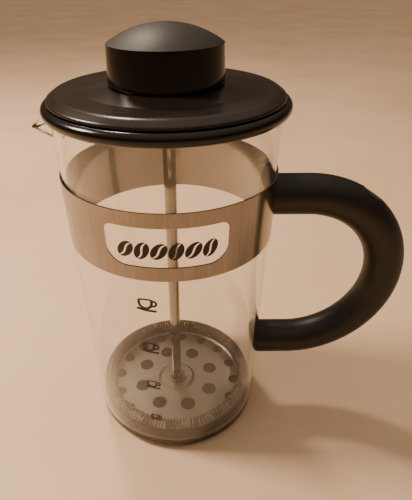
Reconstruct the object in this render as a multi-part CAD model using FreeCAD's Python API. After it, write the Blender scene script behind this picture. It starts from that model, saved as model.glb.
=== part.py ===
import FreeCAD, Part
import math, os

# French press, millimetres. Origin: centre of the beaker's underside, +Z up, handle along +X,
# spout along -X.
V = FreeCAD.Vector
UP = V(0, 0, 1)
MIDDLE = V(0, 0, 0)

# glass beaker
GLASS_R = 49.2          # outside radius of the straight wall
GLASS_WALL = 1.7
GLASS_FLOOR = 4.4
HEEL_R, INNER_HEEL_R = 5.0, 3.0
GLASS_STRAIGHT_TOP = 166.0
RIM_Z = 182.2
RIM_FLARE = 0.5         # how far the wall leans out between the straight part and the rim
SPOUT_LOW_Z, SPOUT_LOW_X, SPOUT_LOW_R = 165.0, -43.8, 3.6
SPOUT_TOP_Z, SPOUT_TOP_X, SPOUT_TOP_R = 180.5, -57.4, 14.6
SPOUT_HOLLOW_LIFT, SPOUT_HOLLOW_LESS = 1.9, 0.5     # the spout's inside: higher, narrower
SPOUT_TRIM_IN, SPOUT_TRIM_OUT = 49.9, 74.0          # the part under the lid is cut off
SPOUT_TRIM_IN_Z, SPOUT_TRIM_OUT_Z = 176.9, 166.1

# steel band
BAND_IN_R, BAND_R = 49.3, 50.0
BAND_LOW_Z, BAND_TOP_Z = 122.8, 154.1
WINDOW_HALF_W = 25.0
WINDOW_LOW_Z, WINDOW_TOP_Z = 129.5, 147.8
WINDOW_LOW_CORNER, WINDOW_TOP_CORNER = 8.0, 3.2
EAR_GAP = 1.2           # between the band's two turned-out ends
EAR_HALF_H = 6.0
EAR_END_X = 63.0

# handle
TUBE_R, TUBE_BORE = 9.9, 6.9
ARM_TOP_Z, ARM_LOW_Z = 138.6, 44.6
BEND_X = 67.0           # where the straight arms turn into the half circle
SEAM_X = 52.2           # where the grip meets its two end pieces
SPIGOT_R, SPIGOT_END_X = 6.85, 66.0
THUMB_HIGH_DEG, THUMB_LOW_DEG = 62.6, 48.6   # where the thumb flat begins and ends round the bend
THUMB_DEPTH, THUMB_RAMP_DEG = 0.85, 3.5       # it drops this far over a short ramp, then runs out level
PAD_T, PAD_GAP, PAD_INSET = 0.9, 0.02, 0.6
COLLAR_BITE = 4.0       # how far each end piece reaches round the beaker before it is cut to fit
SCREW_X, SCREW_R, SCREW_HEAD_R, SCREW_HEAD_T = 57.6, 2.0, 3.5, 2.6
HEAD_SEAT_Y, HEAD_HOLE_R = 4.0, 4.1
HEX_KEY, HEX_KEY_FLOOR = 2.6, 1.0
SCREW_GAP, HEAD_GAP, NUT_GAP = 0.1, 0.2, 0.1
BAND_GAP = 0.05         # between the band and the grip's upper end piece
NUT_FLATS, NUT_IN_Y, NUT_OUT_Y = 7.0, -2.4, -5.4

# lid
SEAT_R, SEAT_ROLL_R, SEAT_ROLL_Z = 50.0, 2.65, 181.55
ROLL_START_DEG, ROLL_END_DEG = -76.0, 85.0
LIP_IN_R, LIP_EDGE = 50.6, 0.1      # inside of the roll, over the glass
SEAT_STEP = 0.2
SKIRT_R, SKIRT_IN_R, SKIRT_LOW_Z = 46.9, 45.0, 178.9
WEB_LOW_Z, SEAT_TOP_Z = 182.5, 183.5
SLOT_COUNT, SLOT_W, SLOT_STEP_DEG = 11, 1.4, 3.8
SLOT_LOW_Z, SLOT_TOP_Z = 179.5, 181.9
COVER_R, COVER_LOW_Z, COVER_TOP_Z = 49.9, 184.8, 187.7
COVER_SHELL, COVER_RIM = 2.1, 4.7
EDGE_BIG, EDGE_SMALL, EDGE_TURN = 4.0, 1.2, 58.0    # the bevel's upper and lower rounding, and its normal
EDGE_WALL = 0.1    # upright part below the lower rounding
BOSS_TOP_Z, BOSS_TOP_R, BOSS_FOOT_R = 189.1, 25.0, 35.0
BOSS_FOOT_RISE = 0.1    # a faint step where the boss leaves the flat top
BOSS_MID_R, BOSS_MID_RISE = 30.2, 0.8
BOSS_IN_TOP, BOSS_IN_FOOT = 1.5, 1.0
HUB_R, HUB_LOW_Z = 9.5, 178.6
SHUTTER_R, SHUTTER_IN_R, SHUTTER_LOW_Z = 44.7, 43.3, 177.9
SHUTTER_LIP_R, SHUTTER_LIP_T = 46.4, 0.7
SHUTTER_OPEN_DEG, SHUTTER_CLEAR = 56.0, 0.3
BUSH_R, BUSH_BORE_R, BUSH_FLANGE_R = 5.5, 3.05, 8.0
BUSH_LOW_Z, BUSH_SEAT_Z, BUSH_TOP_Z = 177.2, 187.7, 189.0
BUSH_SEAT_GAP, BUSH_FLANGE_GAP = 0.2, 0.3
CLIP_LOW_Z, CLIP_TOP_Z, CLIP_R, CLIP_IN_R = 177.7, 178.3, 8.0, 4.9
CLIP_GAP = 4.4
RUN_GAP = 0.05

# knob
KNOB_LOW_Z, KNOB_CREASE_Z, KNOB_TOP_Z = 189.4, 204.1, 211.0
KNOB_LOW_R, KNOB_CREASE_R, KNOB_WALL = 24.4, 23.6, 2.0
KNOB_EDGE = 0.8
CAP_GAP, CAP_OVERHANG = 0.1, 0.03
PLUG_DEPTH, PLUG_WALL = 2.5, 1.8
KNOB_FLOOR_T, KNOB_BOSS_R, KNOB_BOSS_TOP_Z = 3.0, 7.5, 202.0
INSERT_R, INSERT_LOW_Z, INSERT_TOP_Z = 4.5, 191.4, 201.4

# rod and filter
ROD_R, THREAD_R = 3.0, 2.5
ROD_LOW_Z, ROD_SHOULDER_Z, ROD_END_Z = 5.2, 14.9, 200.5
ROD_CHAMFER = 0.4
CROSS_R, CROSS_Z, CROSS_T = 40.0, 6.3, 0.6
CROSS_HUB_R, CROSS_HUB_Z = 7.0, 5.0
CROSS_OPEN_IN, CROSS_OPEN_OUT, CROSS_OPEN_DEG = 12.0, 35.0, 68.0
MESH_R, MESH_T, MESH_Z, MESH_BEND_R = 47.15, 0.35, 6.9, 3.6
MESH_CURL_DEG = 18.0    # how far the mesh wraps over the spring at its edge
PLATE_R, PLATE_Z, PLATE_T = 41.6, 7.3, 0.7
PLATE_LIP_R, PLATE_LIP_Z, PLATE_LIP_EDGE = 42.7, 8.9, 0.4
PLATE_BOSS_R, PLATE_BOSS_RISE, PLATE_BOSS_SLOPE = 11.7, 1.6, 2.0
PLATE_SHIFT = 0.3       # the pressed boss leans out by this much through the plate's thickness
HOLE_TURN_DEG = -4.0    # how far the hole pattern is turned from the handle
INNER_HOLES, INNER_HOLE_R, INNER_RING_R = 8, 4.5, 23.3
OUTER_HOLES, OUTER_HOLE_R, OUTER_RING_R = 16, 3.6, 37.9
SPRING_R, SPRING_COIL_R, SPRING_COIL_IN_R, SPRING_Z = 42.9, 3.8, 3.3, 15.2
WASHER_R, WASHER_Z, WASHER_T = 6.6, 9.7, 0.5
THREAD_GAP = 0.1
LOCK_NUT_FLATS, LOCK_NUT_H = 9.0, 4.5

BEND_Z = (ARM_TOP_Z + ARM_LOW_Z) / 2
BEND_R = (ARM_TOP_Z - ARM_LOW_Z) / 2


def rod_solid(radius, low, high, at=MIDDLE):
    return Part.makeCylinder(radius, high - low, at + UP * low)


def ring(outer, inner, low, high):
    return rod_solid(outer, low, high).cut(rod_solid(inner, low, high))


def turned(steps):
    # Revolves an outline of (radius, z) points.
    # A step of two points is an arc through the first to the second.
    here = V(steps[0][0], 0, steps[0][1])
    first, edges = here, []
    for step in steps[1:]:
        if isinstance(step[0], tuple):
            middle, there = (V(p[0], 0, p[1]) for p in step)
            edges.append(Part.Arc(here, middle, there).toShape())
        else:
            there = V(step[0], 0, step[1])
            edges.append(Part.makeLine(here, there))
        here = there
    if here.distanceToPoint(first) > 1e-6:
        edges.append(Part.makeLine(here, first))
    return Part.Face(Part.Wire(edges)).revolve(MIDDLE, UP, 360)


def corner(centre, radius, degrees):
    turn = math.radians(degrees)
    return (centre[0] + radius * math.cos(turn), centre[1] + radius * math.sin(turn))


def quarter(centre, radius, start, end):
    return (corner(centre, radius, (start + end) / 2), corner(centre, radius, end))


def along_x(radius, x0, x1, z):
    return Part.makeCylinder(radius, x1 - x0, V(x0, 0, z), V(1, 0, 0))


def along_y(radius, y0, y1, x, z):
    return Part.makeCylinder(radius, y1 - y0, V(x, y0, z), V(0, 1, 0))


def block(x0, x1, y0, y1, z0, z1):
    return Part.makeBox(x1 - x0, y1 - y0, z1 - z0, V(x0, y0, z0))


def hexagon(flats, start, direction, length, across):
    # A six-sided prism from start along direction; across is the way its first corner points.
    out = flats / math.sqrt(3)
    side = direction.cross(across)
    turns = [math.radians(60 * i) for i in range(6)]
    corners = [start + across * (out * math.cos(t)) + side * (out * math.sin(t)) for t in turns]
    return Part.Face(Part.makePolygon(corners + corners[:1])).extrude(direction * length)


def wedge(inner, outer, low, high, middle_deg, width_deg):
    piece = Part.makeCylinder(outer, high - low, UP * low, UP, width_deg)
    piece = piece.cut(rod_solid(inner, low, high))
    piece.rotate(MIDDLE, UP, middle_deg - width_deg / 2)
    return piece


def spout_cone(lift, less):
    low = Part.Wire(Part.makeCircle(SPOUT_LOW_R - less, V(SPOUT_LOW_X, 0, SPOUT_LOW_Z + lift)))
    top = Part.Wire(Part.makeCircle(SPOUT_TOP_R - less, V(SPOUT_TOP_X, 0, SPOUT_TOP_Z + lift)))
    return Part.makeLoft([low, top], True, True)


def glass_beaker():
    inner = GLASS_R - GLASS_WALL
    rim_r = GLASS_R + RIM_FLARE - GLASS_WALL / 2
    half = GLASS_WALL / 2
    body = turned([
        (0, 0), (GLASS_R - HEEL_R, 0), quarter((GLASS_R - HEEL_R, HEEL_R), HEEL_R, -90, 0),
        (GLASS_R, GLASS_STRAIGHT_TOP), (rim_r + half, RIM_Z - half),
        quarter((rim_r, RIM_Z - half), half, 0, 180),
        (inner, GLASS_STRAIGHT_TOP), (inner, GLASS_FLOOR + INNER_HEEL_R),
        quarter((inner - INNER_HEEL_R, GLASS_FLOOR + INNER_HEEL_R), INNER_HEEL_R, 0, -90), (0, GLASS_FLOOR)])
    hollow = spout_cone(SPOUT_HOLLOW_LIFT, SPOUT_HOLLOW_LESS)
    lip = spout_cone(0, 0).cut(hollow).cut(rod_solid(GLASS_R - half, SPOUT_LOW_Z - 1, RIM_Z + 1))
    under_lid = turned([(SPOUT_TRIM_IN, SPOUT_TRIM_IN_Z), (SPOUT_TRIM_OUT, SPOUT_TRIM_OUT_Z),
                        (SPOUT_TRIM_OUT, RIM_Z + 1), (SPOUT_TRIM_IN, RIM_Z + 1)])
    return body.cut(hollow).fuse(lip).cut(under_lid).removeSplitter()


def window_cut():
    w, low, top = WINDOW_HALF_W, WINDOW_LOW_Z, WINDOW_TOP_Z
    a, b = WINDOW_LOW_CORNER, WINDOW_TOP_CORNER
    k = 1 - math.sqrt(0.5)
    def at(x, z):
        return V(x, 0, z)
    right = [Part.makeLine(at(-w + a, low), at(w - a, low)),
             Part.Arc(at(w - a, low), at(w - a * k, low + a * k), at(w, low + a)).toShape(),
             Part.makeLine(at(w, low + a), at(w, top - b)),
             Part.Arc(at(w, top - b), at(w - b * k, top - b * k), at(w - b, top)).toShape()]
    left = [Part.makeLine(at(w - b, top), at(-w + b, top)),
            Part.Arc(at(-w + b, top), at(-w + b * k, top - b * k), at(-w, top - b)).toShape(),
            Part.makeLine(at(-w, top - b), at(-w, low + a)),
            Part.Arc(at(-w, low + a), at(-w + a * k, low + a * k), at(-w + a, low)).toShape()]
    return Part.Face(Part.Wire(right + left)).extrude(V(0, -2 * BAND_R, 0))


def clamp_band():
    band = ring(BAND_R, BAND_IN_R, BAND_LOW_Z, BAND_TOP_Z).cut(window_cut())
    thick = BAND_R - BAND_IN_R
    half = EAR_GAP / 2
    band = band.cut(block(0, BAND_R + 1, -half, half, BAND_LOW_Z, BAND_TOP_Z))
    low, high = ARM_TOP_Z - EAR_HALF_H, ARM_TOP_Z + EAR_HALF_H
    hole = along_y(SCREW_R + SCREW_GAP, -TUBE_R, TUBE_R, SCREW_X, ARM_TOP_Z)
    for side in (1, -1):
        y = sorted((side * half, side * (half + thick)))
        ear = block(BAND_IN_R, EAR_END_X, y[0], y[1], low, high).cut(rod_solid(BAND_IN_R, low, high))
        band = band.fuse(ear.cut(hole))
    return band.removeSplitter()


def tube_path(radius):
    # The C-shaped solid of the given radius along the handle's centre line, from the seam to the seam.
    disc = Part.Face(Part.Wire(Part.makeCircle(radius, V(BEND_X, 0, ARM_TOP_Z), V(1, 0, 0))))
    bend = disc.revolve(V(BEND_X, 0, BEND_Z), V(0, 1, 0), 180)
    arms = [along_x(radius, SEAM_X, BEND_X, z) for z in (ARM_TOP_Z, ARM_LOW_Z)]
    return bend.fuse(arms).removeSplitter()


def thumb_flat():
    # What is cut off the outside of the bend: a short ramp down, then a straight run back out.
    reach = BEND_R + TUBE_R
    def at(degrees, radius):
        turn = math.radians(degrees)
        return V(BEND_X + radius * math.cos(turn), -TUBE_R, BEND_Z + radius * math.sin(turn))
    corners = [at(THUMB_HIGH_DEG, reach), at(THUMB_HIGH_DEG - THUMB_RAMP_DEG, reach - THUMB_DEPTH),
               at(THUMB_LOW_DEG, reach), at(THUMB_LOW_DEG, reach + TUBE_R),
                at(THUMB_HIGH_DEG, reach + TUBE_R)]
    return Part.Face(Part.makePolygon(corners + corners[:1])).extrude(V(0, 2 * TUBE_R, 0))


def handle_grip():
    grip = tube_path(TUBE_R).cut(tube_path(TUBE_BORE))
    return grip.cut(thumb_flat()).cut(along_y(HEAD_HOLE_R, 0, TUBE_R + 1, SCREW_X, ARM_TOP_Z))


def end_piece(z, touch_r, spigot_end):
    # A round plug with a collar as wide as the grip, cut away to fit round the beaker or its band.
    collar = along_x(TUBE_R, touch_r - COLLAR_BITE, SEAM_X, z)
    spigot = along_x(SPIGOT_R, SEAM_X, spigot_end, z)
    return collar.fuse(spigot).cut(rod_solid(touch_r, z - 2 * TUBE_R, z + 2 * TUBE_R)).removeSplitter()


def handle_upper_socket():
    socket = end_piece(ARM_TOP_Z, BAND_R + BAND_GAP, SPIGOT_END_X)
    slit_half = EAR_GAP / 2 + (BAND_R - BAND_IN_R)
    reach = EAR_HALF_H + HEAD_GAP
    slit = block(0, EAR_END_X + 1, -slit_half, slit_half, ARM_TOP_Z - reach, ARM_TOP_Z + reach)
    head = along_y(SCREW_HEAD_R + HEAD_GAP, HEAD_SEAT_Y, TUBE_R, SCREW_X, ARM_TOP_Z)
    shank = along_y(SCREW_R + SCREW_GAP, NUT_IN_Y, HEAD_SEAT_Y, SCREW_X, ARM_TOP_Z)
    pocket = hexagon(NUT_FLATS, V(SCREW_X, NUT_IN_Y, ARM_TOP_Z), V(0, -1, 0), TUBE_R, UP)
    return socket.cut(slit).cut(head).cut(shank).cut(pocket)


def handle_lower_plug():
    return end_piece(ARM_LOW_Z, GLASS_R + PAD_T, SPIGOT_END_X)


def handle_pad():
    shell = ring(GLASS_R + PAD_T, GLASS_R + PAD_GAP, ARM_LOW_Z - TUBE_R, ARM_LOW_Z + TUBE_R)
    return shell.common(along_x(TUBE_R - PAD_INSET, 0, 2 * GLASS_R, ARM_LOW_Z))


def clamp_screw():
    shank = along_y(SCREW_R, NUT_OUT_Y, HEAD_SEAT_Y, SCREW_X, ARM_TOP_Z)
    head = along_y(SCREW_HEAD_R, HEAD_SEAT_Y, HEAD_SEAT_Y + SCREW_HEAD_T, SCREW_X, ARM_TOP_Z)
    floor = V(SCREW_X, HEAD_SEAT_Y + HEX_KEY_FLOOR, ARM_TOP_Z)
    socket = hexagon(HEX_KEY, floor, V(0, 1, 0), SCREW_HEAD_T, UP)
    return shank.fuse(head).cut(socket).removeSplitter()


def clamp_nut():
    face = V(SCREW_X, NUT_IN_Y, ARM_TOP_Z)
    nut = hexagon(NUT_FLATS - NUT_GAP, face, V(0, -1, 0), NUT_IN_Y - NUT_OUT_Y, UP)
    return nut.cut(along_y(SCREW_R, NUT_OUT_Y, NUT_IN_Y, SCREW_X, ARM_TOP_Z))


def lid_seat_ring():
    z = SEAT_ROLL_Z
    body = turned([
        (SKIRT_IN_R, SKIRT_LOW_Z), (SKIRT_R, SKIRT_LOW_Z), (SKIRT_R, WEB_LOW_Z), (LIP_IN_R, WEB_LOW_Z),
        (LIP_IN_R, z - SEAT_ROLL_R + LIP_EDGE),
        quarter((SEAT_R, z), SEAT_ROLL_R, ROLL_START_DEG, ROLL_END_DEG),
        (SEAT_R + SEAT_STEP, SEAT_TOP_Z), (SKIRT_IN_R, SEAT_TOP_Z)])
    slots = []
    for i in range(SLOT_COUNT):
        slot = block(SKIRT_IN_R - 1, SKIRT_R + 0.5, -SLOT_W / 2, SLOT_W / 2, SLOT_LOW_Z, SLOT_TOP_Z)
        slot.rotate(MIDDLE, UP, 180 + (i - (SLOT_COUNT - 1) / 2) * SLOT_STEP_DEG)
        slots.append(slot)
    return body.cut(slots)


def lid_cover():
    top = COVER_TOP_Z
    small = (COVER_R - EDGE_SMALL, COVER_LOW_Z + EDGE_WALL)
    foot = corner(small, EDGE_SMALL, EDGE_TURN)
    head_rise = EDGE_BIG * (1 - math.sin(math.radians(EDGE_TURN)))
    run = (top - head_rise - foot[1]) * math.tan(math.radians(EDGE_TURN))
    big = (foot[0] - run - EDGE_BIG * math.cos(math.radians(EDGE_TURN)), top - EDGE_BIG)
    return turned([
        (BUSH_R + RUN_GAP, HUB_LOW_Z), (HUB_R, HUB_LOW_Z), (HUB_R, BOSS_TOP_Z - COVER_SHELL),
        (BOSS_TOP_R - BOSS_IN_TOP, BOSS_TOP_Z - COVER_SHELL),
        (BOSS_FOOT_R - BOSS_IN_FOOT, top - COVER_SHELL),
        (COVER_R - COVER_RIM, top - COVER_SHELL), (COVER_R - COVER_RIM, COVER_LOW_Z), (COVER_R, COVER_LOW_Z),
        (COVER_R, small[1]), quarter(small, EDGE_SMALL, 0, EDGE_TURN),
        corner(big, EDGE_BIG, EDGE_TURN), quarter(big, EDGE_BIG, EDGE_TURN, 90),
        (BOSS_FOOT_R, top + BOSS_FOOT_RISE), ((BOSS_MID_R, top + BOSS_MID_RISE), (BOSS_TOP_R, BOSS_TOP_Z)),
        (BUSH_FLANGE_R + BUSH_FLANGE_GAP, BOSS_TOP_Z), (BUSH_FLANGE_R + BUSH_FLANGE_GAP, BUSH_SEAT_Z),
        (BUSH_R + RUN_GAP, BUSH_SEAT_Z)])


def pour_shutter():
    low = SHUTTER_LOW_Z
    body = turned([
        (SHUTTER_IN_R, low), (SHUTTER_LIP_R, low), (SHUTTER_LIP_R, low + SHUTTER_LIP_T),
        (SHUTTER_R, low + SHUTTER_LIP_T), (SHUTTER_R, COVER_TOP_Z - COVER_SHELL),
        (SHUTTER_IN_R, COVER_TOP_Z - COVER_SHELL)])
    slot_low, slot_top = SLOT_LOW_Z - SHUTTER_CLEAR, SLOT_TOP_Z + SHUTTER_CLEAR
    return body.cut(wedge(SHUTTER_IN_R - 1, SHUTTER_R + 1, slot_low, slot_top, 180, SHUTTER_OPEN_DEG))


def rod_bush():
    seat = BUSH_SEAT_Z + BUSH_SEAT_GAP
    return turned([
        (BUSH_BORE_R, BUSH_LOW_Z), (BUSH_R, BUSH_LOW_Z), (BUSH_R, CLIP_LOW_Z), (CLIP_IN_R, CLIP_LOW_Z),
        (CLIP_IN_R, CLIP_TOP_Z), (BUSH_R, CLIP_TOP_Z), (BUSH_R, seat), (BUSH_FLANGE_R, seat),
        (BUSH_FLANGE_R, BUSH_TOP_Z), (BUSH_BORE_R, BUSH_TOP_Z)])


def bush_clip():
    clip = ring(CLIP_R, CLIP_IN_R, CLIP_LOW_Z, CLIP_TOP_Z)
    return clip.cut(block(0, CLIP_R + 1, -CLIP_GAP / 2, CLIP_GAP / 2, CLIP_LOW_Z, CLIP_TOP_Z))


def knob_body():
    wall_top = KNOB_CREASE_R - KNOB_WALL
    floor = KNOB_LOW_Z + KNOB_FLOOR_T
    return turned([
        (ROD_R + RUN_GAP, KNOB_LOW_Z), (KNOB_LOW_R - KNOB_EDGE, KNOB_LOW_Z),
        quarter((KNOB_LOW_R - KNOB_EDGE, KNOB_LOW_Z + KNOB_EDGE), KNOB_EDGE, -90, 0),
        (KNOB_CREASE_R + CAP_OVERHANG, KNOB_CREASE_Z - CAP_GAP), (wall_top, KNOB_CREASE_Z - CAP_GAP),
        (wall_top, floor),
        (KNOB_BOSS_R, floor), (KNOB_BOSS_R, KNOB_BOSS_TOP_Z), (INSERT_R, KNOB_BOSS_TOP_Z),
        (INSERT_R, INSERT_LOW_Z), (ROD_R + RUN_GAP, INSERT_LOW_Z)])


def knob_cap():
    rise = KNOB_TOP_Z - KNOB_CREASE_Z
    ball = (KNOB_CREASE_R ** 2 + rise ** 2) / (2 * rise)
    centre = KNOB_TOP_Z - ball
    plug = KNOB_CREASE_R - KNOB_WALL - CAP_GAP
    inner = ball - KNOB_WALL
    plug_in = plug - PLUG_WALL
    def dome(radius, r):
        return (r, centre + math.sqrt(radius ** 2 - r ** 2))
    return turned([
        (0, KNOB_TOP_Z), (dome(ball, KNOB_CREASE_R / 2), (KNOB_CREASE_R, KNOB_CREASE_Z)),
        (plug, KNOB_CREASE_Z), (plug, KNOB_CREASE_Z - PLUG_DEPTH), (plug_in, KNOB_CREASE_Z - PLUG_DEPTH),
        dome(inner, plug_in),
        (dome(inner, plug_in / 2), (0, centre + inner))])


def knob_insert():
    return ring(INSERT_R, THREAD_R, INSERT_LOW_Z, INSERT_TOP_Z)


def plunger_rod():
    c = ROD_CHAMFER
    return turned([
        (0, ROD_LOW_Z), (THREAD_R - c, ROD_LOW_Z), (THREAD_R, ROD_LOW_Z + c), (THREAD_R, ROD_SHOULDER_Z),
        (ROD_R - c, ROD_SHOULDER_Z), (ROD_R, ROD_SHOULDER_Z + c), (ROD_R, INSERT_LOW_Z),
        (THREAD_R, INSERT_LOW_Z),
        (THREAD_R, ROD_END_Z - c), (THREAD_R - c, ROD_END_Z), (0, ROD_END_Z)])


def cross_plate():
    plate = rod_solid(CROSS_R, CROSS_Z, CROSS_Z + CROSS_T)
    for middle in (45, 135, 225, 315):
        high = CROSS_Z + CROSS_T
        plate = plate.cut(wedge(CROSS_OPEN_IN, CROSS_OPEN_OUT, CROSS_Z, high, middle, CROSS_OPEN_DEG))
    hub = rod_solid(CROSS_HUB_R, CROSS_HUB_Z, CROSS_Z + CROSS_T)
    return plate.fuse(hub).cut(rod_solid(THREAD_R, CROSS_HUB_Z, MESH_Z)).removeSplitter()


def mesh_filter():
    z, t, r, b = MESH_Z, MESH_T, MESH_R, MESH_BEND_R
    hole = THREAD_R + THREAD_GAP
    curl = (SPRING_R, SPRING_Z)
    outer, inner = r - SPRING_R, r - t - SPRING_R
    return turned([
        (hole, z), (r - b, z), quarter((r - b, z + b), b, -90, 0), (r, SPRING_Z),
        quarter(curl, outer, 0, MESH_CURL_DEG), corner(curl, inner, MESH_CURL_DEG),
        quarter(curl, inner, MESH_CURL_DEG, 0), (r - t, z + b),
        quarter((r - b, z + b), b - t, 0, -90), (hole, z + t)])


def press_plate():
    z, t, edge = PLATE_Z, PLATE_T, PLATE_LIP_EDGE
    up, inner = PLATE_BOSS_RISE, PLATE_BOSS_R - PLATE_BOSS_SLOPE
    hole = THREAD_R + THREAD_GAP
    plate = turned([
        (hole, z + up), (inner, z + up), (PLATE_BOSS_R, z), (PLATE_R, z), (PLATE_LIP_R, PLATE_LIP_Z - edge),
        (PLATE_LIP_R - edge, PLATE_LIP_Z), (PLATE_R - edge, z + t), (PLATE_BOSS_R + PLATE_SHIFT, z + t),
        (inner + PLATE_SHIFT, z + t + up), (hole, z + t + up)])
    holes = []
    for count, ring_r, hole_r, turn in ((INNER_HOLES, INNER_RING_R, INNER_HOLE_R, 0.5),
                                        (OUTER_HOLES, OUTER_RING_R, OUTER_HOLE_R, 0)):
        for i in range(count):
            a = 2 * math.pi * (i + turn) / count + math.radians(HOLE_TURN_DEG)
            holes.append(rod_solid(hole_r, z - 1, z + 2, V(ring_r * math.cos(a), ring_r * math.sin(a), 0)))
    return plate.cut(holes)


def garter_spring():
    at = UP * SPRING_Z
    return Part.makeTorus(SPRING_R, SPRING_COIL_R, at).cut(Part.makeTorus(SPRING_R, SPRING_COIL_IN_R, at))


def hub_washer():
    return ring(WASHER_R, THREAD_R + THREAD_GAP, WASHER_Z, WASHER_Z + WASHER_T)


def lock_nut():
    low = WASHER_Z + WASHER_T
    nut = hexagon(LOCK_NUT_FLATS, UP * low, UP, LOCK_NUT_H, V(1, 0, 0))
    return nut.cut(rod_solid(THREAD_R, low, low + LOCK_NUT_H))


NODES = [
    glass_beaker, clamp_band, handle_grip, handle_upper_socket, handle_lower_plug, handle_pad,
    clamp_screw, clamp_nut, lid_seat_ring, lid_cover, pour_shutter, rod_bush,
    bush_clip, knob_body, knob_cap, knob_insert, plunger_rod, cross_plate,
    mesh_filter, press_plate, garter_spring, hub_washer, lock_nut]

os.makedirs("parts", exist_ok=True)
for make in NODES:
    shape = make()
    print(make.__name__, len(shape.Solids), shape.isValid(), round(shape.Volume, 1), shape.BoundBox)
    shape.exportStep("parts/" + make.__name__ + ".step")
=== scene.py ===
import math

import bmesh
import bpy
from mathutils import Matrix, Vector

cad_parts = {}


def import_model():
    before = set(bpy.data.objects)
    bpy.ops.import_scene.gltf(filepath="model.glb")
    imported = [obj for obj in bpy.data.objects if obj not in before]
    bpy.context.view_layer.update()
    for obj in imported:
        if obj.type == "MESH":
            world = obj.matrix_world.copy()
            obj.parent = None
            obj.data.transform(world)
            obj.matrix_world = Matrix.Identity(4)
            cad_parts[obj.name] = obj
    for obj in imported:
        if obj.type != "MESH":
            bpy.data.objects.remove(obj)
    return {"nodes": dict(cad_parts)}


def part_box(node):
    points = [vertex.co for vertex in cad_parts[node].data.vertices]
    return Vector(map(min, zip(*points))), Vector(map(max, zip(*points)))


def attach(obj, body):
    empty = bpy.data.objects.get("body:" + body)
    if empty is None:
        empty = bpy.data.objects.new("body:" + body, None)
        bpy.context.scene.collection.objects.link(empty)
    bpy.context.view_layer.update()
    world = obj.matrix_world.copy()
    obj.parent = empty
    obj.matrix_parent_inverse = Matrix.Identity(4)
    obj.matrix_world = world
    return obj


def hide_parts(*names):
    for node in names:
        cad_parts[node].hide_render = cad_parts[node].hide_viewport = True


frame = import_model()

MM = 0.001
WEAVE_PITCH = 0.45 * MM
COIL_TURNS, COIL_STEPS, WIRE_SIDES = 145, 16, 6
WIRE_R = 0.42 * MM
INK_STAND, INK_THICK = 0.02 * MM, 0.04 * MM
MARK_ANGLE = -101.6                       # degrees round the beaker from the handle
MARKS = ((109.7, 1.0), (83.3, 0.93), (56.7, 0.8), (29.6, 0.66))      # height in mm, size
BEANS, BEAN_START, BEAN_STEP, BEAN_HEIGHT, BEAN_ANGLE = 6, -17.6, 7.05, 137.0, -89.6
BEAN_LEANS = (48, 62)
BEAN_LONG, BEAN_WIDE, SEAM_GAP, SEAM_WAVE, BEAN_POINTS = 4.3, 3.0, 0.42, 0.62, 18
GRAIN_DEPTH = 40                          # how fast brushed grain changes with distance from the axis
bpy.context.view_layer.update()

GLASS_R = 49.2 * MM                       # outside of the beaker's straight wall
RING_LOW, RING_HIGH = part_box("garter_spring")


# ---------------------------------------------------------------- node helpers

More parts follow.
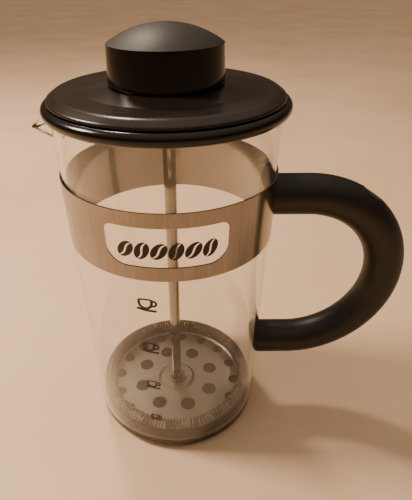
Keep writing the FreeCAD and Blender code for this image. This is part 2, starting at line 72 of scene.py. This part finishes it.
class Nodes:
    """A material's node tree with one Principled shader."""

    def __init__(self, name):
        self.mat = bpy.data.materials.new(name)
        self.mat.use_nodes = True
        self.tree = self.mat.node_tree
        self.tree.nodes.clear()
        self.out = self.add("ShaderNodeOutputMaterial")
        self.shader = self.add("ShaderNodeBsdfPrincipled")
        self.link(self.shader.outputs[0], self.out.inputs[0])
        self.coords = self.add("ShaderNodeTexCoord").outputs["Object"]

    def add(self, kind, **settings):
        node = self.tree.nodes.new(kind)
        for key, value in settings.items():
            setattr(node, key, value)
        return node

    def link(self, a, b):
        self.tree.links.new(a, b)

    def set(self, **values):
        for key, value in values.items():
            self.shader.inputs[key.replace("_", " ")].default_value = value

    def scaled(self, scale, source=None):
        node = self.add("ShaderNodeMapping")
        node.inputs["Scale"].default_value = scale
        self.link(source or self.coords, node.inputs["Vector"])
        return node.outputs[0]

    def noise(self, scale, detail=4.0, roughness=0.55, vector=None, distortion=0.0):
        node = self.add("ShaderNodeTexNoise")
        node.inputs["Scale"].default_value = scale
        node.inputs["Detail"].default_value = detail
        node.inputs["Roughness"].default_value = roughness
        node.inputs["Distortion"].default_value = distortion
        self.link(vector or self.coords, node.inputs["Vector"])
        return node.outputs["Fac"]

    def remap(self, value, low, high, from_low=0.3, from_high=0.7):
        node = self.add("ShaderNodeMapRange")
        node.inputs["From Min"].default_value = from_low
        node.inputs["From Max"].default_value = from_high
        node.inputs["To Min"].default_value = low
        node.inputs["To Max"].default_value = high
        self.link(value, node.inputs["Value"])
        return node.outputs[0]

    def math(self, operation, a, b=None):
        node = self.add("ShaderNodeMath", operation=operation)
        for socket, value in zip(node.inputs, (a, b)):
            if isinstance(value, (int, float)):
                socket.default_value = value
            elif value is not None:
                self.link(value, socket)
        return node.outputs[0]

    def mix(self, factor, a, b):
        node = self.add("ShaderNodeMix", data_type="RGBA")
        self.link(factor, node.inputs["Factor"])
        for name, value in (("A", a), ("B", b)):
            socket = [s for s in node.inputs if s.name == name and s.type == "RGBA"][0]
            if isinstance(value, tuple):
                socket.default_value = (*value, 1)
            else:
                self.link(value, socket)
        return [s for s in node.outputs if s.type == "RGBA"][0]

    def average(self, a, b):
        """Half of each value."""
        return self.math("ADD", self.math("MULTIPLY", a, 0.5), self.math("MULTIPLY", b, 0.5))

    def bump(self, height, strength, distance, below=None):
        node = self.add("ShaderNodeBump")
        node.inputs["Strength"].default_value = strength
        node.inputs["Distance"].default_value = distance
        self.link(height, node.inputs["Height"])
        if below is not None:
            self.link(below, node.inputs["Normal"])
        return node.outputs[0]

    def to(self, socket, value):
        self.link(value, self.shader.inputs[socket])

    def xyz(self):
        node = self.add("ShaderNodeSeparateXYZ")
        self.link(self.coords, node.inputs[0])
        return node.outputs

    def around(self):
        """Coordinates that run round the vertical axis: (angle, height, distance)."""
        x, y, z = self.xyz()
        angle = self.math("ARCTAN2", y, x)
        square = self.math("ADD", self.math("MULTIPLY", x, x), self.math("MULTIPLY", y, y))
        radius = self.math("SQRT", square)
        node = self.add("ShaderNodeCombineXYZ")
        for socket, value in zip(node.inputs, (angle, z, radius)):
            self.link(value, socket)
        return node.outputs[0]


def plastic(name, colour, light, rough, grain=0.1, grain_size=2200, shine=0.5):
    """Moulded plastic: fine grain, slow changes of sheen, faint rubbed patches."""
    n = Nodes(name)
    slow = n.noise(38, 3)
    fine = n.noise(grain_size, 2)
    n.to("Base Color", n.mix(n.remap(slow, 0, 1), colour, light))
    n.to("Roughness", n.math("ADD", n.remap(slow, rough[0], rough[1]), n.remap(fine, -0.02, 0.02)))
    n.to("Normal", n.bump(fine, grain, 0.00012))
    n.set(Specular_IOR_Level=shine)
    return n


def steel(name, colour, dull, rough, along=None, scratch=0.06):
    """Stainless steel. along = (round the axis, up it) sets how many grain lines run each way."""
    n = Nodes(name)
    if along:
        grain = n.noise(1.0, 3, 0.6, n.scaled((along[0], along[1], GRAIN_DEPTH), n.around()))
    else:
        grain = n.noise(420, 3)
    slow = n.noise(26, 3)
    n.to("Base Color", n.mix(n.remap(n.average(slow, grain), 0, 1), colour, dull))
    n.to("Roughness", n.math("ADD", n.remap(grain, rough[0], rough[1]), n.remap(slow, -0.02, 0.03)))
    n.to("Normal", n.bump(grain, scratch, 0.00004))
    n.set(Metallic=1.0)
    return n


def glass():
    n = Nodes("clear_glass")
    wave = n.noise(26, 2)
    smudge = n.noise(14, 5, 0.7, distortion=0.6)
    n.to("Roughness", n.remap(smudge, 0.0, 0.03, 0.5, 0.8))
    n.to("Normal", n.bump(wave, 0.05, 0.0006))
    n.set(Base_Color=(0.985, 0.99, 0.985, 1), Transmission_Weight=1.0, IOR=1.47, Specular_IOR_Level=0.3)
    return n


def woven():
    """Fine wire mesh: two sets of wires crossing, dark between them."""
    n = Nodes("woven_wire")
    x, y, z = n.xyz()
    waves = 2 * math.pi / WEAVE_PITCH
    a = n.math("SINE", n.math("MULTIPLY", n.math("ADD", x, z), waves))
    b = n.math("SINE", n.math("MULTIPLY", n.math("SUBTRACT", y, z), waves))
    weave = n.math("MAXIMUM", a, b)
    n.to("Base Color", n.mix(n.remap(weave, 0, 1, -0.2, 0.8), (0.006, 0.005, 0.004), (0.05, 0.041, 0.033)))
    n.to("Roughness", n.remap(n.noise(60, 3), 0.32, 0.5))
    n.to("Normal", n.bump(weave, 0.6, 0.0001))
    n.set(Metallic=0.6)
    return n


def ink():
    n = Nodes("printed_ink")
    edge = n.noise(1500, 3)
    n.to("Base Color", n.mix(n.remap(edge, 0, 1), (0.003, 0.002, 0.0015), (0.006, 0.004, 0.003)))
    n.to("Roughness", n.remap(edge, 0.35, 0.5))
    n.to("Normal", n.bump(edge, 0.1, 0.00003))
    return n


def soft_rubber():
    n = plastic("soft_rubber", (0.04, 0.04, 0.042), (0.06, 0.06, 0.06), (0.6, 0.75), 0.2, 900)
    return n


def brass():
    n = steel("turned_brass", (0.72, 0.5, 0.22), (0.6, 0.4, 0.17), (0.2, 0.34), (14, 5200))
    return n


MATERIALS = {
    "glass_beaker": glass(),
    "clamp_band": steel("band_steel", (0.36, 0.325, 0.29), (0.25, 0.225, 0.2), (0.14, 0.24), (34, 60), 0.02),
    "handle_grip": plastic("handle_satin", (0.0042, 0.0034, 0.0028), (0.007, 0.0055, 0.0045),
            (0.42, 0.52), 0.12, 2600),
    "lid_cover": plastic("lid_satin", (0.011, 0.0078, 0.0062), (0.017, 0.0125, 0.01), (0.22, 0.28), 0.05),
    "lid_seat_ring": plastic("lid_gloss", (0.0035, 0.0026, 0.0021), (0.006, 0.0046, 0.004),
            (0.16, 0.2), 0.04, shine=0.4),
    "knob_body": plastic("knob_gloss", (0.0025, 0.002, 0.0018), (0.004, 0.0032, 0.0028),
            (0.07, 0.12), 0.02, shine=0.28),
    "knob_cap": plastic("knob_satin", (0.01, 0.009, 0.008), (0.016, 0.0145, 0.013), (0.46, 0.54), 0.12, 3000),
    "plunger_rod": steel("rod_steel", (0.38, 0.345, 0.31), (0.28, 0.25, 0.225), (0.06, 0.12), (3, 900), 0.02),
    "press_plate": steel("plate_steel", (0.32, 0.28, 0.235), (0.26, 0.225, 0.19), (0.3, 0.36), None, 0.002),
    "lock_nut": steel("nut_steel", (0.34, 0.29, 0.25), (0.24, 0.2, 0.17), (0.22, 0.34), None, 0.05),
    "clamp_screw": steel("zinc", (0.5, 0.5, 0.52), (0.4, 0.4, 0.42), (0.28, 0.42), None, 0.08),
    "mesh_filter": woven(),
    "handle_pad": soft_rubber(),
    "knob_insert": brass(),
    "rod_bush": plastic("bush_plastic", (0.01, 0.009, 0.008), (0.016, 0.015, 0.014), (0.3, 0.4)),
}
SAME = {
    "handle_upper_socket": "handle_grip", "handle_lower_plug": "handle_grip",
    "pour_shutter": "lid_seat_ring", "clamp_nut": "clamp_screw", "bush_clip": "press_plate",
    "cross_plate": "press_plate", "hub_washer": "press_plate",
}


def paint(obj, n):
    obj.data.materials.clear()
    obj.data.materials.append(n.mat)


for name, obj in frame["nodes"].items():
    if name != "garter_spring":
        paint(obj, MATERIALS[SAME.get(name, name)])


# ---------------------------------------------------------------- pieces

def piece(name, verts, faces, n, body, smooth=True):
    mesh = bpy.data.meshes.new(name)
    mesh.from_pydata(verts, [], faces)
    mesh.update()
    bm = bmesh.new()
    bm.from_mesh(mesh)
    bmesh.ops.recalc_face_normals(bm, faces=bm.faces)
    bm.to_mesh(mesh)
    bm.free()
    for poly in mesh.polygons:
        poly.use_smooth = smooth
    obj = bpy.data.objects.new(name, mesh)
    bpy.context.scene.collection.objects.link(obj)
    paint(obj, n)
    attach(obj, body)
    return obj


def coil_ring():
    """The coil inside the filter's edge: one wire wound round a ring, its turns a little apart."""
    centre_z = (RING_LOW.z + RING_HIGH.z) / 2
    coil_r = (RING_HIGH.z - RING_LOW.z) / 2 - WIRE_R
    ring_r = RING_HIGH.x - coil_r - WIRE_R
    count = COIL_TURNS * COIL_STEPS
    verts, faces = [], []

    def at(i):
        turn = 2 * math.pi * i / count
        wind = 2 * math.pi * i / COIL_STEPS
        r = ring_r + coil_r * math.cos(wind)
        return Vector((r * math.cos(turn), r * math.sin(turn), centre_z + coil_r * math.sin(wind)))

    for i in range(count):
        here = at(i)
        forward = (at(i + 1) - at(i - 1)).normalized()
        turn = 2 * math.pi * i / count
        middle = Vector((ring_r * math.cos(turn), ring_r * math.sin(turn), centre_z))
        side = (here - middle).normalized()
        across = forward.cross(side).normalized()
        j = (i + 1) % count
        for k in range(WIRE_SIDES):
            a = 2 * math.pi * k / WIRE_SIDES
            verts.append(here + side * (WIRE_R * math.cos(a)) + across * (WIRE_R * math.sin(a)))
            m = (k + 1) % WIRE_SIDES
            faces.append((i * WIRE_SIDES + k, i * WIRE_SIDES + m, j * WIRE_SIDES + m, j * WIRE_SIDES + k))
    wire = steel("spring_wire", (0.44, 0.38, 0.32), (0.36, 0.31, 0.26), (0.2, 0.28), None, 0.003)
    obj = piece("garter_spring_coil", verts, faces, wire, "plunger")
    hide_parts("garter_spring")


coil_ring()

INK = ink()
INK_LOW, INK_HIGH = GLASS_R + INK_STAND, GLASS_R + INK_STAND + INK_THICK


def wrap(angle, s, t, radius):
    """A point s mm round the beaker from angle, at height t mm."""
    a = math.radians(angle) + s * MM / GLASS_R
    return (radius * math.cos(a), radius * math.sin(a), t * MM)


def printed(name, angle, loops):
    """Printed shapes on the glass. Each loop is (inner points, outer points, closed), one strip."""
    verts, faces = [], []
    for inner, outer, closed in loops:
        base = len(verts)
        count = len(inner)
        for a, b in zip(inner, outer):
            verts += [wrap(angle, *a, INK_LOW), wrap(angle, *b, INK_LOW),
                      wrap(angle, *b, INK_HIGH), wrap(angle, *a, INK_HIGH)]
        for i in range(count if closed else count - 1):
            j = (i + 1) % count
            for k in range(4):
                m = (k + 1) % 4
                faces.append((base + 4 * i + k, base + 4 * i + m, base + 4 * j + m, base + 4 * j + k))
        if not closed:
            faces.append(tuple(base + k for k in range(4)))
            faces.append(tuple(base + 4 * (count - 1) + k for k in (3, 2, 1, 0)))
    return piece(name, verts, faces, INK, "carafe", smooth=False)


def stroke(points, width, closed=False):
    """Two lines either side of a drawn line."""
    left, right = [], []
    count = len(points)
    for i, p in enumerate(points):
        a = points[(i - 1) % count] if closed or i else p
        b = points[(i + 1) % count] if closed or i < count - 1 else p
        along = (Vector(b) - Vector(a)).normalized()
        out = Vector((-along.y, along.x)) * (width / 2)
        left.append(tuple(Vector(p) + out))
        right.append(tuple(Vector(p) - out))
    return left, right, closed


def arc(cx, cy, rx, ry, start, end, count):
    return [(cx + rx * math.cos(math.radians(start + (end - start) * i / count)),
             cy + ry * math.sin(math.radians(start + (end - start) * i / count))) for i in range(count + 1)]


def cup_mark(index, angle, height, size):
    def fit(points):
        return [(x * size, height + y * size) for x, y in points]
    bowl = [(-3.5, 2.0)] + arc(-0.6, 0.3, 2.9, 3.0, 180, 360, 14) + [(2.3, 2.0)]
    rim = arc(-0.6, 2.0, 2.9, 0.35, 180, 0, 8)
    ear = arc(2.5, 0.2, 1.9, 1.5, 110, -110, 12)
    saucer = [(-4.7, -2.9), (-2.0, -3.5), (1.5, -3.9), (4.4, -4.0)]
    line = 1.3 * size
    shapes = [stroke(fit(bowl), line), stroke(fit(rim), line * 0.7),
              stroke(fit(ear), line * 0.8), stroke(fit(saucer), line)]
    printed(f"cup_mark_{index}", angle, shapes)


for index, (height, size) in enumerate(MARKS, 1):
    cup_mark(index, MARK_ANGLE, height, size)


def bean(cx, cy, lean):
    """A coffee bean: two halves with a wavy gap between them."""
    turn = math.radians(lean)

    def place(u, v):
        return (cx + u * math.cos(turn) - v * math.sin(turn), cy + u * math.sin(turn) + v * math.cos(turn))

    halves = []
    for side in (1, -1):
        rim, seam = [], []
        for i in range(BEAN_POINTS + 1):
            t = math.pi * i / BEAN_POINTS
            u = BEAN_LONG * math.cos(t)
            v = side * BEAN_WIDE * math.sin(t)
            w = SEAM_WAVE * math.sin(math.pi * u / BEAN_LONG) + side * SEAM_GAP * math.sin(t)
            rim.append(place(u, v if abs(v) > abs(w) else w))
            seam.append(place(u, w))
        halves.append((seam, rim, False))
    return halves


beans = []
for i in range(BEANS):
    beans += bean(BEAN_START + i * BEAN_STEP, BEAN_HEIGHT, BEAN_LEANS[i % 2])
printed("bean_motif", BEAN_ANGLE, beans)


# ---------------------------------------------------------------- floor, light and camera

def floor():
    n = Nodes("pale_floor")
    slow = n.noise(5, 4)
    n.to("Base Color", n.mix(n.remap(slow, 0, 1), (0.8, 0.55, 0.35), (0.86, 0.62, 0.43)))
    n.to("Roughness", n.remap(slow, 0.45, 0.6))
    mesh = bpy.data.meshes.new("floor")
    size = 6.0
    corners = [(-size, -size, 0), (size, -size, 0), (size, size, 0), (-size, size, 0)]
    mesh.from_pydata(corners, [], [(0, 1, 2, 3)])
    obj = bpy.data.objects.new("floor", mesh)
    bpy.context.scene.collection.objects.link(obj)
    obj.location.z = -0.0002
    obj.data.materials.append(n.mat)


def area_light(name, place, target, size, power, colour):
    data = bpy.data.lights.new(name, "AREA")
    data.shape = "RECTANGLE"
    data.size, data.size_y = size
    data.energy = power
    data.color = colour
    obj = bpy.data.objects.new(name, data)
    obj.location = place
    obj.rotation_euler = (Vector(target) - Vector(place)).to_track_quat("-Z", "Y").to_euler()
    bpy.context.scene.collection.objects.link(obj)


def world():
    w = bpy.data.worlds.new("studio")
    bpy.context.scene.world = w
    w.use_nodes = True
    tree = w.node_tree
    split = tree.nodes.new("ShaderNodeSeparateXYZ")
    tree.links.new(tree.nodes.new("ShaderNodeTexCoord").outputs["Generated"], split.inputs[0])
    ramp = tree.nodes.new("ShaderNodeValToRGB")
    stops = ((0.0, (0.07, 0.043, 0.027)), (0.35, (0.13, 0.084, 0.055)),
             (0.7, (0.5, 0.39, 0.29)), (1.0, (0.75, 0.6, 0.46)))
    ramp.color_ramp.elements.new(0.35)
    ramp.color_ramp.elements.new(0.7)
    for stop, (position, colour) in zip(ramp.color_ramp.elements, stops):
        stop.position = position
        stop.color = (*colour, 1)
    tree.links.new(split.outputs["Z"], ramp.inputs[0])
    tree.links.new(ramp.outputs[0], tree.nodes["Background"].inputs["Color"])
    tree.nodes["Background"].inputs["Strength"].default_value = 1.0


def camera():
    data = bpy.data.cameras.new("camera")
    data.lens = 30.99
    data.shift_x, data.shift_y = 0.0381, 0.068
    obj = bpy.data.objects.new("camera", data)
    heading, pitch, roll = 0.0101, 0.6431, -0.0124
    tilt = Matrix.Rotation(math.pi / 2 - pitch, 4, "X")
    turn = Matrix.Rotation(heading, 4, "Z") @ tilt @ Matrix.Rotation(roll, 4, "Z")
    obj.matrix_world = Matrix.Translation((0.0094, -0.1937, 0.2294)) @ turn
    bpy.context.scene.collection.objects.link(obj)
    bpy.context.scene.camera = obj


floor()
world()
area_light("key", (-0.8, 0.1, 0.85), (0, 0, 0.05), (0.25, 0.25), 16, (1.0, 0.8, 0.6))
area_light("back", (-0.27, 0.62, 0.97), (0, 0, 0.18), (0.12, 0.08), 4.5, (1.0, 0.84, 0.66))
camera()
